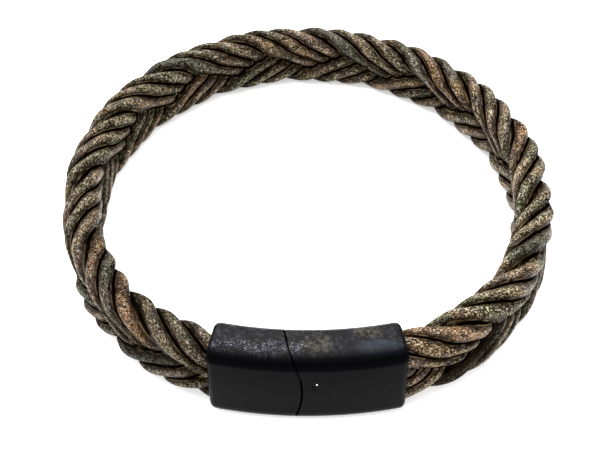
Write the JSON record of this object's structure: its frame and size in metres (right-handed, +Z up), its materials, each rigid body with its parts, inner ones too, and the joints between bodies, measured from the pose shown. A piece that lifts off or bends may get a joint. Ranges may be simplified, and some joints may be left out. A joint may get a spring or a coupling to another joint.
{
  "type": "braided leather bracelet",
  "caption": "Flat plait of round leather cords bent into a wrist loop, its ends glued into a curved two-part black metal clasp.",
  "frame": {"origin": "centre of the bounding box's bottom, on the surface that the bracelet lies on", "axes": "+Z up, along the wrist's axis; -Y is the front, where the clasp is; +X to the right seen from the front"},
  "size_m": [0.074, 0.0796, 0.012],
  "materials": {
    "clasp_metal": "black plated steel, satin on the front, lightly rubbed on the top face",
    "core_steel": "blackened steel, hidden inside the clasp",
    "strand_leather": "antiqued olive brown round leather cord with fine dark and pale speckle and burnished edges"
  },
  "bodies": {
    "root": {"clasp_half_left": "clasp_metal", "clasp_half_right": "clasp_metal", "coupling_core": "core_steel", "strand_1": "strand_leather", "strand_2": "strand_leather", "strand_3": "strand_leather"}
  },
  "joints": []
}
